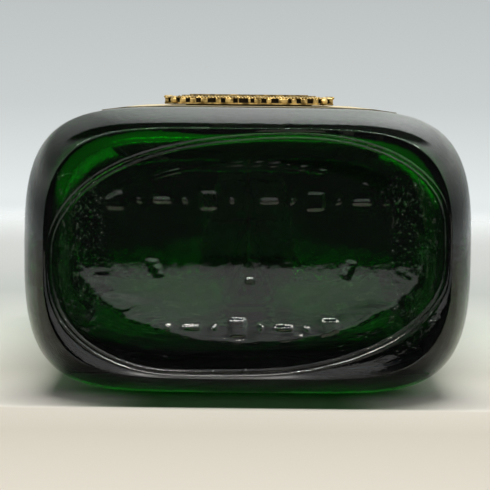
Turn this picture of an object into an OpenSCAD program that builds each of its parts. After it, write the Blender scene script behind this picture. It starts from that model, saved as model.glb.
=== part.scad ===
// Ship in a bottle: a green glass flask bottle lying on its broad side, with a paper label and a gilt
// badge on top, a cork stopper in its neck, and a three-masted ship on a putty sea inside.
// +Y runs from the base to the neck, +Z is up, and the origin is under the middle of the whole object.

/* [Bottle] */
// Width of the body across its broad face
body_w = 100; // [94:1:106]
// Depth of the body, which is its height as it lies
body_t = 64; // [62:1:68]
// Length of the body from the bearing rim to the start of the shoulder
body_l = 150; // [146:1:160]
// Length of the shoulder
shoulder_l = 36; // [32:1:42]
// Length of the neck up to the lip
neck_l = 46; // [42:1:52]
// Thickness of the side walls
wall = 3.6; // [3:0.1:4.2]
// Thickness of the glass under the push-up
base_t = 12; // [10:0.5:13]
// Depth of the push-up in the base
push_up = 4; // [3:0.5:5]
// Radius of the heel between the side walls and the bearing rim
heel_r = 4.8; // [4:0.2:6]
// Radius of the neck below its finish
neck_r = 14.5; // [14:0.1:16]
// Radius of the neck's bore
bore_r = 9.5; // [9:0.1:10.5]

/* [Stopper] */
// Length of cork in the neck
cork_l = 24; // [18:1:28]
// Length of the turned head
head_l = 14; // [10:1:18]
// Radius of the turned head
head_r = 14; // [12:0.5:16]
// Running gap round the cork
cork_gap = 0.05; // [0.03:0.01:0.08]

/* [Label and badge] */
// Length of the paper label along the bottle
label_l = 92; // [80:1:100]
// Distance from the bearing rim to the label
label_start = 22; // [18:1:30]
// Width of the badge across the bottle
badge_w = 40; // [39:1:44]
// Length of the badge along the bottle
badge_l = 46; // [44:1:50]
// Thickness of the badge
badge_t = 2.4; // [2.2:0.1:3]

/* [Ship and sea] */
// Height of the sea's surface above the table
sea_z = 11; // [10:0.5:12]
// Length of the hull
hull_l = 74; // [70:1:76]
// Greatest beam of the hull, which has to pass through the neck
beam = 14; // [12:0.5:15]
// Distance from the bearing rim to the stern
stern_s = 39; // [36:1:44]
// Radius of the rigging threads
thread_r = 0.1; // [0.08:0.01:0.14]

/* [Hidden] */
$fn = 32;
total_l = body_l + shoulder_l + neck_l + head_l;
base_y = -total_l / 2;
mid_z = body_t / 2;
lip_y = base_y + body_l + shoulder_l + neck_l;

// The body's section is a superellipse with its own power across the breadth and the depth.
section_n = 48;
power_x = 5.8;
power_z = 3.05;
half_step = 180 / section_n;

badge_y = base_y + label_start + label_l / 2 - 12;
label_t = 0.2;
glue_t = 0.3;
seat_gap = 0.02;
badge_z = body_t + label_t + 2 * seat_gap + glue_t;

hull_y = base_y + stern_s;
hull_z = sea_z - 1.5;
deck_t = 0.35;
rail_h = 1.4;
rail_t = 0.5;

// Each mast: share of the hull's length from the stern, height of its head, and its yards' heights and half lengths.
MASTS = [
    ["mizzen", 0.20, 52.0, [26.5, 37.2, 47.8], [11.0, 9.4, 7.4]],
    ["main", 0.49, 57.5, [30.0, 41.0, 52.0], [14.5, 12.2, 9.6]],
    ["fore", 0.76, 55.0, [29.0, 39.8, 50.4], [13.5, 11.4, 9.0]]
];
LEVELS = ["lower", "topsail", "topgallant"];
SQUARE_SAILS = ["course", "topsail", "topgallant"];
mast_r = 0.7;
mast_tip_r = 0.35;
yard_r = 0.42;
sail_t = 0.2;

// ---- shared geometry ----

function lerp(a, b, t) = a + (b - a) * t;
function power_of(c, p) = sign(c) * pow(abs(c), 2 / p);

// One ring of the section at distance s from the bearing rim. Half sizes a and b are reached by the flats.
function ring(s, a, b, px = power_x, pz = power_z) =
    let (ax = a / pow(cos(half_step), 2 / px), bz = b / pow(cos(half_step), 2 / pz))
    [for (i = [0 : section_n - 1])
        let (t = (2 * i + 1) * half_step)
        [ax * power_of(cos(t), px), base_y + s, mid_z + bz * power_of(sin(t), pz)]];

// Joins rings of equal length into one closed solid.
module loft(rings) {
    n = len(rings[0]);
    last = len(rings) - 1;
    polyhedron(
        points = [for (r = rings, p = r) p],
        faces = concat(
            [[for (i = [n - 1 : -1 : 0]) i]],
            [for (k = [0 : last - 1], i = [0 : n - 1])
                [k * n + i, k * n + (i + 1) % n, (k + 1) * n + (i + 1) % n, (k + 1) * n + i]],
            [[for (i = [0 : n - 1]) last * n + i]]
        )
    );
}

// Gives a grid of points a thickness, split into triangles the same way on both faces.
module cloth(grid, thick) {
    rows = len(grid);
    cols = len(grid[0]);
    n = rows * cols;
    flat = [for (r = grid, p = r) p];
    rim = concat(
        [for (i = [0 : cols - 2]) i],
        [for (j = [0 : rows - 2]) j * cols + cols - 1],
        [for (i = [cols - 1 : -1 : 1]) n - cols + i],
        [for (j = [rows - 1 : -1 : 1]) j * cols]
    );
    polyhedron(
        points = concat(flat, [for (p = flat) p + thick]),
        faces = concat(
            [for (j = [0 : rows - 2], i = [0 : cols - 2], half = [0, 1])
                let (a = j * cols + i)
                half == 0 ? [a, a + 1, a + cols + 1] : [a, a + cols + 1, a + cols]],
            [for (j = [0 : rows - 2], i = [0 : cols - 2], half = [0, 1])
                let (a = n + j * cols + i)
                half == 0 ? [a + cols + 1, a + 1, a] : [a + cols, a + cols + 1, a]],
            [for (k = [0 : len(rim) - 1], half = [0, 1])
                let (a = rim[k], b = rim[(k + 1) % len(rim)])
                half == 0 ? [b, a, n + a] : [b, n + a, n + b]]
        )
    );
}

// Turns a shape drawn along Z so that it runs along +Y from the point given.
module along_y(at) {
    translate(at) rotate([-90, 0, 0]) children();
}

// A round bar from a to b, cut short by the lengths given so that it stops at what it is tied to.
module bar(a, b, r1, r2, cut_a = 0, cut_b = 0) {
    d = b - a;
    l = norm(d);
    turn = atan2(norm([d.x, d.y]), d.z);
    translate(a + d * cut_a / l)
        rotate([0, turn, atan2(d.y, d.x)])
            cylinder(h = l - cut_a - cut_b, r1 = r1, r2 = r2);
}

module thread(a, b, cut_a = 0, cut_b = 0) {
    bar(a, b, thread_r, thread_r, cut_a, cut_b);
}

// ---- bottle ----

function shoulder_size(from, to, t) = lerp(from, to, (1 - cos(180 * t)) / 2);

function shoulder_ring(start, t, a, b, r) =
    ring(start + shoulder_l * t, shoulder_size(a, r, t), shoulder_size(b, r, t),
        lerp(power_x, 2, pow(t, 0.8)), lerp(power_z, 2, pow(t, 0.8)));

stub_s = body_l + shoulder_l + 5;
inner_shift = 2;
inner_heel_r = 9;
inner_r = bore_r + 0.3;
rim_w = 0.9;
shoulder_steps = 12;

function outer_rings() =
    let (a = body_w / 2, b = body_t / 2, ra = a - heel_r - rim_w, rb = b - heel_r - rim_w)
    concat(
        [for (k = [[0.35, 1], [0.6, 0.85], [0.82, 0.45], [0.95, 0.15], [1, 0]])
            ring(push_up * k[1], ra * k[0], rb * k[0])],
        [for (f = [0 : 15 : 90])
            ring(heel_r * (1 - cos(f)), a - heel_r * (1 - sin(f)), b - heel_r * (1 - sin(f)))],
        [for (k = [0 : shoulder_steps]) shoulder_ring(body_l, k / shoulder_steps, a, b, neck_r)],
        [ring(stub_s, neck_r, neck_r, 2, 2)]
    );

function inner_rings() =
    let (a = body_w / 2 - wall, b = body_t / 2 - wall, ra = a - inner_heel_r, rb = b - inner_heel_r,
        floor_s = base_t + push_up * 0.35)
    concat(
        [ring(stub_s, inner_r, inner_r, 2, 2)],
        [for (k = [shoulder_steps : -1 : 0])
            shoulder_ring(body_l - inner_shift, k / shoulder_steps, a, b, inner_r)],
        [for (f = [90 : -18 : 0])
            ring(floor_s + inner_heel_r * (1 - cos(f)), a - inner_heel_r * (1 - sin(f)), b - inner_heel_r * (1 - sin(f)))],
        [for (k = [[0.8, 0.5], [0.4, 1]])
            ring(floor_s + push_up * 0.65 * k[1], ra * k[0], rb * k[0])]
    );

// The neck is a true turning, with a string rim round its lip and a true bore for the cork.
module neck() {
    start = -3;
    top = neck_l;
    rim_r = neck_r + 1.2;
    rim_h = 11;
    along_y([0, base_y + body_l + shoulder_l, mid_z])
        rotate_extrude()
            polygon([
                [bore_r, start], [neck_r + 0.15, start], [neck_r + 0.15, 4], [neck_r - 0.8, top - rim_h - 2],
                [rim_r, top - rim_h], [rim_r, top - 1.2], [rim_r - 1.2, top], [bore_r + 0.8, top], [bore_r, top - 0.8]
            ]);
}

module bottle() {
    color([0.02, 0.25, 0.06, 0.5]) union() {
        loft(concat(outer_rings(), inner_rings()));
        neck();
    }
}

// ---- label and badge ----

// The label is bent over the broad face, so its section follows the same points as the glass.
module front_label() {
    face = [for (p = ring(0, body_w / 2, body_t / 2)) if (p.z > mid_z && abs(p.x) < 0.7 * body_w / 2) [p.x, p.z]];
    n = len(face);
    color([0.86, 0.80, 0.62])
        translate([0, base_y + label_start + label_l, 0])
            rotate([90, 0, 0])
                linear_extrude(label_l)
                    polygon(concat(
                        [for (p = face) p + [0, seat_gap]],
                        [for (i = [n - 1 : -1 : 0]) face[i] + [0, seat_gap + label_t]]
                    ));
}

module badge_outline(inset = 0) {
    w = badge_w - 2 * inset;
    l = badge_l - 2 * inset;
    difference() {
        square([w, l], center = true);
        for (x = [-1, 1], y = [-1, 1]) translate([x * w / 2, y * l / 2]) circle(r = 3.4);
    }
}

module badge_glue() {
    color([0.85, 0.83, 0.75])
        translate([0, badge_y, body_t + label_t + 2 * seat_gap])
            linear_extrude(glue_t - seat_gap) square([30, 32], center = true);
}

// Arched recesses run round the badge's edge: a large one in the middle of each side, then small and large ones.
module edge_arches(half_w, half_l, scale_l) {
    large = [0, 8.5, 15];
    small = [2.6, 5.4, 11.9];
    depth = 1.5;
    for (side = [-1, 1], hand = [-1, 1]) {
        for (x = large) translate([hand * x * scale_l, side * half_l, 0.6]) rotate([90, 0, 0])
            cylinder(h = 2 * depth, r = 0.95, center = true);
        for (x = small) translate([hand * x * scale_l, side * half_l, 0.4]) rotate([90, 0, 0])
            cylinder(h = 2 * depth, r = 0.6, center = true);
    }
}

module badge_plate() {
    color([0.82, 0.62, 0.25]) translate([0, badge_y, badge_z]) difference() {
        linear_extrude(badge_t - 0.5) badge_outline();
        edge_arches(badge_w / 2, badge_l / 2, 1);
        rotate(90) edge_arches(badge_l / 2, badge_w / 2, 1.08);
        translate([0, 0, 1.1]) linear_extrude(badge_t) badge_outline(3.2);
    }
}

// A compass rose in a plain ring, soldered into the sunk field of the plate.
module badge_rose() {
    ring_r = 15.5;
    color([0.88, 0.70, 0.32]) translate([0, badge_y, badge_z + 1.1]) {
        rotate_extrude() translate([ring_r, 0]) square([1.1, 1.1]);
        for (turn = [0 : 90 : 270]) rotate(turn)
            linear_extrude(1.3) polygon([[0, 0], [2.3, 2.3], [0, 14.6], [-2.3, 2.3]]);
        for (turn = [45 : 90 : 315]) rotate(turn)
            linear_extrude(0.9) polygon([[0, 0], [1.8, 2.6], [0, 11], [-1.8, 2.6]]);
        cylinder(h = 1.3, r = 3);
    }
}

// ---- stopper ----

module stopper_cork() {
    r = bore_r - cork_gap;
    color([0.72, 0.55, 0.36])
        along_y([0, lip_y - cork_l, mid_z])
            rotate_extrude()
                polygon([[0, 0], [r - 0.8, 0], [r, 0.8], [r, cork_l], [0, cork_l]]);
}

module stopper_head() {
    edge = 3;
    gap = 0.1;
    color([0.30, 0.17, 0.09])
        along_y([0, lip_y + gap, mid_z])
            rotate_extrude() {
                square([head_r - edge, head_l - gap]);
                translate([0, 1]) square([head_r, head_l - gap - edge - 1]);
                translate([head_r - edge, head_l - gap - edge]) circle(r = edge);
                square([head_r - 1, 2]);
            }
}

// ---- sea ----

// Height of the inner wall's lower side above the table, at distance x from the middle.
function inner_floor(x) =
    let (a = body_w / 2 - wall, b = body_t / 2 - wall)
    mid_z - b * pow(max(0, 1 - pow(abs(x) / a, power_x)), 1 / power_z);

sea_half = 40;
sea_start = base_y + 21;
sea_l = 118;
sea_steps_x = 16;
sea_steps_y = 30;

function wave(x, y) = 0.45 * sin(y * 34 + x * 9) + 0.3 * sin(x * 31 - y * 13) - 0.25;

function sea_top(x, y) =
    let (bed = inner_floor(x) + 0.35, u = (y - sea_start) / sea_l, ends = min(1, min(u, 1 - u) * 9 + 0.12),
        sides = min(1, (sea_half + 1.5 - abs(x)) / 5))
    bed + max(0.5, (sea_z + wave(x, y) - bed) * sqrt(ends * sides));

module sea_mass() {
    xs = [for (i = [0 : sea_steps_x]) lerp(-sea_half, sea_half, i / sea_steps_x)];
    loft([for (j = [0 : sea_steps_y])
        let (y = sea_start + sea_l * j / sea_steps_y)
        concat(
            [for (x = xs) [x, y, inner_floor(x) + 0.3]],
            [for (i = [sea_steps_x : -1 : 0]) [xs[i], y, sea_top(xs[i], y)]]
        )]);
}

// A bed is pressed into the putty for the hull.
module sea() {
    color([0.12, 0.32, 0.42]) difference() {
        sea_mass();
        translate([0, 0, hull_z]) linear_extrude(10)
            polygon(concat(
                [for (u = hull_stations) [half_at_sea(u) + 0.15, hull_at(u)]],
                [[0, hull_at(1) + 0.4]],
                [for (i = [len(hull_stations) - 1 : -1 : 0])
                    [-half_at_sea(hull_stations[i]) - 0.15, hull_at(hull_stations[i])]],
                [[0, hull_at(0) - 0.2]]
            ));
        translate([0, hull_y - 1, hull_z + 5]) cube([3, 4, 10], center = true);
    }
}

// ---- hull ----

hull_stations = [for (k = [0 : 16]) k / 16];

function hull_at(u) = hull_y + hull_l * u;
function deck_z(u) = sea_z + 4.2 + 1.6 * pow(2 * u - 0.85, 2);
function half_at_deck(u) =
    beam / 2 * (u > 0.45 ? max(0.05, 1 - pow((u - 0.45) / 0.55, 2.8)) : 1 - 0.36 * pow((0.45 - u) / 0.45, 2));
function half_at_water(u) =
    beam / 2 * (u > 0.42 ? max(0.03, 0.94 - pow((u - 0.42) / 0.56, 2.1)) : 0.94 - 0.72 * pow((0.42 - u) / 0.42, 2.2));

function half_at_middle(u) = lerp(half_at_water(u), half_at_deck(u), 0.78);
function half_at_sea(u) = lerp(half_at_water(u), half_at_middle(u), 0.72);

// A section of the hull at share u of its length: flat below, round at the bilge, and up to the deck's edge.
function hull_ring(u) =
    let (y = hull_at(u), d = half_at_deck(u), w = half_at_water(u), z = deck_z(u), m = half_at_middle(u))
    [[w, y, hull_z], [m, y, lerp(hull_z, z, 0.5)], [d, y, z], [-d, y, z], [-m, y, lerp(hull_z, z, 0.5)], [-w, y, hull_z]];

module hull() {
    color([0.18, 0.10, 0.06]) loft([for (u = hull_stations) hull_ring(u)]);
}

// A slab that follows the deck's sheer between two shares of the hull's length.
module deck_slab(from, to, inset, low, high, steps) {
    loft([for (k = [0 : steps])
        let (u = lerp(from, to, k / steps), y = hull_at(u), x = max(0.12, half_at_deck(u) - inset), z = deck_z(u))
        [[x, y, z + low], [x, y, z + high], [-x, y, z + high], [-x, y, z + low]]]);
}

module deck() {
    color([0.72, 0.55, 0.34]) deck_slab(0.015, 0.93, rail_t + 0.1, 0.01, deck_t, 14);
}

// Port, starboard and transom boards stand round the deck's edge, open at the bow for the bowsprit.
module bulwarks() {
    steps = 15;
    color([0.85, 0.80, 0.68]) {
        for (side = [-1, 1])
            loft([for (k = [0 : steps])
                let (u = lerp(0, 0.94, k / steps), y = hull_at(u), x = half_at_deck(u), z = deck_z(u) + 0.01,
                    inner = max(0.05, x - rail_t))
                side > 0
                    ? [[inner, y, z], [x, y, z], [x, y, z + rail_h], [inner, y, z + rail_h]]
                    : [[-x, y, z], [-inner, y, z], [-inner, y, z + rail_h], [-x, y, z + rail_h]]]);
        translate([0, hull_at(0) + 0.4, deck_z(0) + 0.01 + rail_h / 2])
            cube([2 * half_at_deck(0), 0.8, rail_h], center = true);
    }
}

// Small boards on the hull's sides, which the shrouds come down to.
module channels() {
    color([0.25, 0.14, 0.08]) for (m = MASTS, side = [-1, 1])
        loft([for (k = [0 : 4])
            let (u = m[1] - 0.03 + 0.018 * (k - 2), y = hull_at(u), z = deck_z(u) - 0.45,
                x1 = side > 0 ? half_at_deck(u) + 0.06 : -half_at_deck(u) - 1.45, x2 = x1 + 1.39)
            [[x1, y, z], [x2, y, z], [x2, y, z + 0.3], [x1, y, z + 0.3]]]);
}

module rudder() {
    color([0.2, 0.11, 0.06])
        translate([-0.25, hull_at(0) - 1.9, hull_z + 0.05])
            cube([0.5, 1.85, 4.4]);
}

module forecastle() {
    color([0.70, 0.52, 0.31]) deck_slab(0.81, 0.925, rail_t + 0.12, deck_t + 0.02, deck_t + 1.3, 5);
}

module poop() {
    color([0.70, 0.52, 0.31]) deck_slab(0.02, 0.13, rail_t + 0.12, deck_t + 0.02, deck_t + 1.3, 4);
}

deck_top = deck_z(0.69) + deck_t + 0.04;

module deckhouse() {
    color([0.88, 0.85, 0.76])
        translate([0, hull_at(0.625), deck_top + 1]) cube([5, 8, 2], center = true);
}

module deckhouse_roof() {
    color([0.45, 0.28, 0.15])
        translate([0, hull_at(0.625), deck_top + 2.17]) cube([5.8, 8.8, 0.3], center = true);
}

module hatch_covers() {
    color([0.40, 0.24, 0.13]) for (u = [0.345, 0.43])
        translate([0, hull_at(u), deck_z(0.35) + deck_t + 0.5]) cube([4, 4.2, 0.8], center = true);
}

// A wheel on its pedestal, just before the poop.
module helm() {
    at = [0, hull_at(0.152), deck_z(0.152) + deck_t + 0.03];
    color([0.35, 0.2, 0.1]) translate(at) {
        translate([-0.3, -0.3, 0]) cube([0.6, 0.6, 1.2]);
        translate([0, 0.3, 1.5]) rotate([-90, 0, 0]) cylinder(h = 0.3, r = 1.1);
        translate([-0.3, -0.3, 1.2]) cube([0.6, 0.61, 0.5]);
    }
}

// Two pulling boats lie bottom up on the deckhouse roof.
module lifeboats() {
    boat_l = 6.4;
    boat_r = 0.95;
    color([0.90, 0.87, 0.80])
        for (side = [-1, 1])
            translate([side * 1.6, hull_at(0.625), deck_top + 2.36]) difference() {
                rotate([-90, 0, 0]) rotate_extrude()
                    polygon([for (k = [-6 : 6]) [boat_r * sqrt(1 - pow(k / 6, 2)), k * boat_l / 12]]);
                translate([-2, -boat_l, -4]) cube([4, 2 * boat_l, 4]);
            }
}

// ---- spars ----

sprit_foot = [0, hull_at(0.955), deck_z(0.96) + deck_t + 0.55];
sprit_rise = 20;
sprit_l = 15;
boom_l = 12;
function on_sprit(d) = sprit_foot + d * [0, cos(sprit_rise), sin(sprit_rise)];

module bowsprit() {
    color([0.55, 0.38, 0.2]) bar(on_sprit(0), on_sprit(sprit_l), 0.65, 0.5);
}

// The jib boom lies on the bowsprit's outer half and carries on past its end.
module jib_boom() {
    lift = [0, -sin(sprit_rise), cos(sprit_rise)] * 0.98;
    color([0.62, 0.45, 0.25]) bar(on_sprit(sprit_l - 5) + lift, on_sprit(sprit_l - 5 + boom_l) + lift, 0.4, 0.22);
}

boom_tip = on_sprit(sprit_l - 5 + boom_l) + [0, -sin(sprit_rise), cos(sprit_rise)] * 0.98;

function mast_y(m) = hull_at(m[1]);
function mast_foot(m) = [0, mast_y(m), deck_z(m[1]) + deck_t + 0.12];
function mast_head(m) = [0, mast_y(m), m[2]];
function mast_r_at(m, z) = lerp(mast_r, mast_tip_r, (z - mast_foot(m).z) / (m[2] - mast_foot(m).z));

// Each mast folds on a wire through its foot while the ship is put in, and the glued stays then hold it up.
module mast(m) {
    foot = mast_foot(m);
    color([0.66, 0.48, 0.27]) difference() {
        bar(foot, mast_head(m), mast_r, mast_tip_r);
        translate(foot + [0, 0, 0.6]) rotate([0, 90, 0]) cylinder(h = 4, r = 0.24, center = true);
    }
}

module mast_hinge_pins() {
    pin_r = 0.2;
    leg_x = 1.05;
    color([0.75, 0.62, 0.30]) for (m = MASTS) translate(mast_foot(m) + [0, 0, 0.6]) {
        rotate([0, 90, 0]) cylinder(h = 2 * leg_x, r = pin_r, center = true);
        for (side = [-1, 1]) translate([side * leg_x, 0, -0.7]) cylinder(h = 0.9, r = pin_r);
    }
}

// Flat tops, square at the back, sit round each lower mast a little under its topsail.
function top_z(m) = m[3][0] + 1.2;

module mast_tops() {
    color([0.45, 0.28, 0.15]) for (m = MASTS)
        translate([0, mast_y(m), top_z(m)]) difference() {
            translate([0, 0.2, 0]) cylinder(h = 0.35, r = 1.7);
            translate([0, 0, -1]) cylinder(h = 3, r = mast_r_at(m, top_z(m)) + 0.03);
            translate([-3, -4.15, -1]) cube([6, 3, 3]);
        }
}

function yard_at(m, k) = [0, mast_y(m) + mast_r_at(m, m[3][k]) + yard_r + 0.06, m[3][k]];

module yard(m, k) {
    color([0.50, 0.33, 0.17]) for (side = [-1, 1])
        bar(yard_at(m, k), yard_at(m, k) + [side * m[4][k], 0, 0], yard_r, yard_r / 2);
}

mizzen = MASTS[0];
main = MASTS[1];
fore = MASTS[2];
boom_z = 20.6;
gaff_z = 31;
spanker_l = 16;

module spanker_boom() {
    color([0.50, 0.33, 0.17])
        bar([0, mast_y(mizzen) - mast_r - 0.1, boom_z], [0, mast_y(mizzen) - spanker_l, boom_z + 0.8], 0.4, 0.25);
}

module gaff() {
    color([0.50, 0.33, 0.17])
        bar([0, mast_y(mizzen) - mast_r - 0.1, gaff_z], [0, mast_y(mizzen) - 12.5, gaff_z + 5], 0.35, 0.22);
}

// ---- sails ----

// A square sail hangs from its yard and bellies forward. Its clews reach down to the level given.
module square_sail(m, k, foot_z, foot_half, belly) {
    nu = 6;
    nv = 5;
    head = yard_at(m, k) - [0, 0, yard_r + 0.05];
    head_half = m[4][k] * 0.9;
    color([0.90, 0.86, 0.74])
        cloth([for (j = [0 : nv])
            let (v = j / nv, half = lerp(head_half, foot_half, v), z = lerp(head.z, foot_z, v))
            [for (i = [0 : nu]) let (c = 1 - pow(2 * i / nu - 1, 2))
                [lerp(-half, half, i / nu), head.y + belly * c * sin(135 * v), z + 0.7 * c * v * v]]],
            [0, sail_t, 0]);
}

// A sail in the ship's middle plane, given its corners as [y, z].
module flat_sail(corners) {
    color([0.90, 0.86, 0.74])
        translate([sail_t / 2, 0, 0])
            rotate([90, 0, -90])
                linear_extrude(sail_t)
                    polygon([for (c = corners) [-c[0], c[1]]]);
}

module spanker() {
    y = mast_y(mizzen) - mast_r - 0.7;
    flat_sail([[y, boom_z + 0.7], [y, gaff_z - 0.2], [mast_y(mizzen) - 12, gaff_z + 4.2], [mast_y(mizzen) - 15.4, boom_z + 1.4]]);
}

// A jib hangs along its stay, a little below it. Its tack is near the spar and its clew is well aft.
module jib(stay, share_low, share_high, clew) {
    drop = [0, -0.35, -0.35];
    low = lerp(stay[0], stay[1], share_low) + drop;
    high = lerp(stay[0], stay[1], share_high) + drop;
    flat_sail([[low.y, low.z], clew, [high.y, high.z]]);
}

// ---- rigging ----

stay_lift = 1.5;
function stay_start(m, k) = [0, mast_y(m), m[3][k] + stay_lift];

inner_stay = [on_sprit(7) + [0, 0, 0.75], stay_start(fore, 0)];
outer_stay = [on_sprit(sprit_l - 0.5) + [0, 0, 1.5], stay_start(fore, 1)];
flying_stay = [boom_tip + [0, -0.4, 0.3], stay_start(fore, 2)];

// The fore-and-aft threads that pull the masts up and then stay glued.
module stays() {
    color([0.20, 0.17, 0.13]) {
        for (s = [inner_stay, outer_stay, flying_stay]) thread(s[0], s[1], 0.05, 1.2);
        for (pair = [[main, fore], [mizzen, main]]) {
            thread(stay_start(pair[0], 2), [0, mast_y(pair[1]), pair[1][3][1] - 2.2], 1.4, 1.4);
            thread(stay_start(pair[0], 1), [0, mast_y(pair[1]), pair[1][3][0] - 2.2], 1.4, 1.4);
        }
    }
}

function shroud_foot(m, side, k) =
    let (u = m[1] - 0.03 + 0.024 * (k - 1))
    [side * (half_at_deck(u) + 1.1), hull_at(u), deck_z(u) - 0.08];

module shrouds() {
    color([0.16, 0.13, 0.10]) for (m = MASTS, side = [-1, 1], k = [0 : 2])
        thread(shroud_foot(m, side, k), [side * 0.4, mast_y(m), top_z(m) - 0.8], 0, 1.2);
}

module backstays() {
    color([0.16, 0.13, 0.10]) for (m = MASTS, side = [-1, 1], k = [1, 2])
        let (u = m[1] - 0.075 - 0.012 * k)
        thread([side * (half_at_deck(u) - 0.25), hull_at(u), deck_z(u) + rail_h + 0.15],
            [side * 0.3, mast_y(m), m[3][k] + 0.9], 0, 1);
}

module bobstays() {
    color([0.16, 0.13, 0.10])
        thread([0, hull_at(1) + 0.2, deck_z(1) - 1.6], on_sprit(sprit_l - 1.2) + 0.74 * [0, sin(sprit_rise), -cos(sprit_rise)]);
}

module ensign() {
    color([0.55, 0.10, 0.09])
        translate([-0.1, mast_y(mizzen) - 17.2, gaff_z + 5.6]) cube([0.2, 4.2, 2.6]);
}

// ---- the model ----

bottle();
front_label();
badge_glue();
badge_plate();
badge_rose();
stopper_cork();
stopper_head();
sea();
hull();
deck();
bulwarks();
channels();
rudder();
forecastle();
poop();
deckhouse();
deckhouse_roof();
hatch_covers();
helm();
lifeboats();
bowsprit();
jib_boom();
for (m = MASTS) mast(m);
mast_hinge_pins();
mast_tops();
for (m = MASTS, k = [0 : 2]) yard(m, k);
gaff();
spanker_boom();
for (m = [fore, main]) square_sail(m, 0, 19.2, m[4][0] * 0.86, 3.2);
for (m = MASTS, k = [1, 2])
    square_sail(m, k, m[3][k - 1] + yard_r + 0.15, m[4][k - 1] * 0.86, 3);
spanker();
jib(inner_stay, 0.12, 0.86, [inner_stay[0].y - 9.2, 20.4]);  // inner_jib
jib(outer_stay, 0.1, 0.8, [outer_stay[0].y - 9.4, 24]);  // outer_jib
jib(flying_stay, 0.08, 0.74, [flying_stay[0].y - 8.6, 27]);  // flying_jib
stays();
shrouds();
backstays();
bobstays();
ensign();
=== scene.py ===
import math
import bmesh
import bpy
from mathutils import Matrix, Vector, noise


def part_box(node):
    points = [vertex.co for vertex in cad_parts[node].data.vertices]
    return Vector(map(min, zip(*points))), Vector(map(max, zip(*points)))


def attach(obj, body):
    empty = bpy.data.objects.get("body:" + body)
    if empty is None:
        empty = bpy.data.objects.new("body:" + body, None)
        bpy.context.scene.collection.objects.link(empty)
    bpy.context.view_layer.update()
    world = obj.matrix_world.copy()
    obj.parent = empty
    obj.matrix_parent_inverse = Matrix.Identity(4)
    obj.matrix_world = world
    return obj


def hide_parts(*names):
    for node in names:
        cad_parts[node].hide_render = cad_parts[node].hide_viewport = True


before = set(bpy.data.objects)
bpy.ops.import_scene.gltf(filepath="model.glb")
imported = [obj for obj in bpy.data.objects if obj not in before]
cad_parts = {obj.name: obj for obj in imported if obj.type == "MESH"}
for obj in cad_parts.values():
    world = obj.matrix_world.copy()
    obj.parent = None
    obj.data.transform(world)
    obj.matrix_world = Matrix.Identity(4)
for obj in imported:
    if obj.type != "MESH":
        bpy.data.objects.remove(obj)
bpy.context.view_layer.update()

# ---- Camera ----
# A long lens looks straight at the bottle's base, from just above the height of the upper face and tipped
# down a little.
bottle_low, bottle_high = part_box("bottle")
base_y = bottle_low.y
bottle_mid = (bottle_low.z + bottle_high.z) / 2
camera = bpy.data.objects.new("camera", bpy.data.cameras.new("camera"))
bpy.context.scene.collection.objects.link(camera)
camera.data.sensor_width = 36
camera.data.lens = 138.6
camera.location = (-0.0006, base_y - 0.412, bottle_high.z + 0.003)
camera.rotation_euler = (Matrix.Rotation(math.radians(90 - 4.57), 3, "X")
                         @ Matrix.Rotation(math.radians(0.6), 3, "Z")).to_euler()
bpy.context.scene.camera = camera
bpy.context.scene.view_settings.view_transform = "Standard"
bpy.context.scene.cycles.max_bounces = 24
bpy.context.scene.cycles.transmission_bounces = 20
bpy.context.scene.cycles.transparent_max_bounces = 16
bpy.context.scene.cycles.glossy_bounces = 16


# ---- Studio ----
# A pale sheet fades into a pale backdrop, with a strip light overhead, and dark flags and a white card that
# the camera doesn't see. What surrounds the bottle differs for the camera, for reflections, for glass and for
# matt surfaces. It is set for one view and isn't physically consistent.
def shader(name):
    """A new material with its node tree and its Principled shader."""
    made = bpy.data.materials.new(name)
    made.use_nodes = True
    return made, made.node_tree, made.node_tree.nodes["Principled BSDF"]


def node_in(tree, kind, inputs=(), **settings):
    """Adds a node of that kind. inputs gives (socket, value or output to link) pairs."""
    made = tree.nodes.new(kind)
    for name, value in settings.items():
        setattr(made, name, value)
    for socket, value in inputs:
        if isinstance(value, bpy.types.NodeSocket):
            tree.links.new(value, made.inputs[socket])
        else:
            made.inputs[socket].default_value = value
    return made


def ramp_in(tree, factor, stops):
    """A colour ramp through (position, colour) stops."""
    made = node_in(tree, "ShaderNodeValToRGB", [("Fac", factor)])
    while len(made.color_ramp.elements) < len(stops):
        made.color_ramp.elements.new(0.5)
    for element, (position, colour) in zip(made.color_ramp.elements, stops):
        element.position = position
        element.color = (*colour, 1)
    return made.outputs["Color"]


def linear(r, g, b):
    """A colour from 0 to 255 as a linear one."""
    return tuple((c / 255 / 12.92) if c <= 10 else ((c / 255 + 0.055) / 1.055) ** 2.4 for c in (r, g, b))


def calc(tree, operation, *values):
    """A Math node on numbers or outputs."""
    return node_in(tree, "ShaderNodeMath", list(enumerate(values)), operation=operation).outputs[0]


def rise(tree, value, low, high):
    """A soft step from 0 to 1 as the value goes from low to high."""
    return node_in(tree, "ShaderNodeMapRange", [(0, value), (1, low), (2, high)],
                   interpolation_type="SMOOTHSTEP").outputs[0]


def blended(tree, factor, a, b):
    """Colour a where the factor is 0, and colour b where it is 1."""
    return node_in(tree, "ShaderNodeMix", [(0, factor), (6, a), (7, b)], data_type="RGBA").outputs[2]


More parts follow.
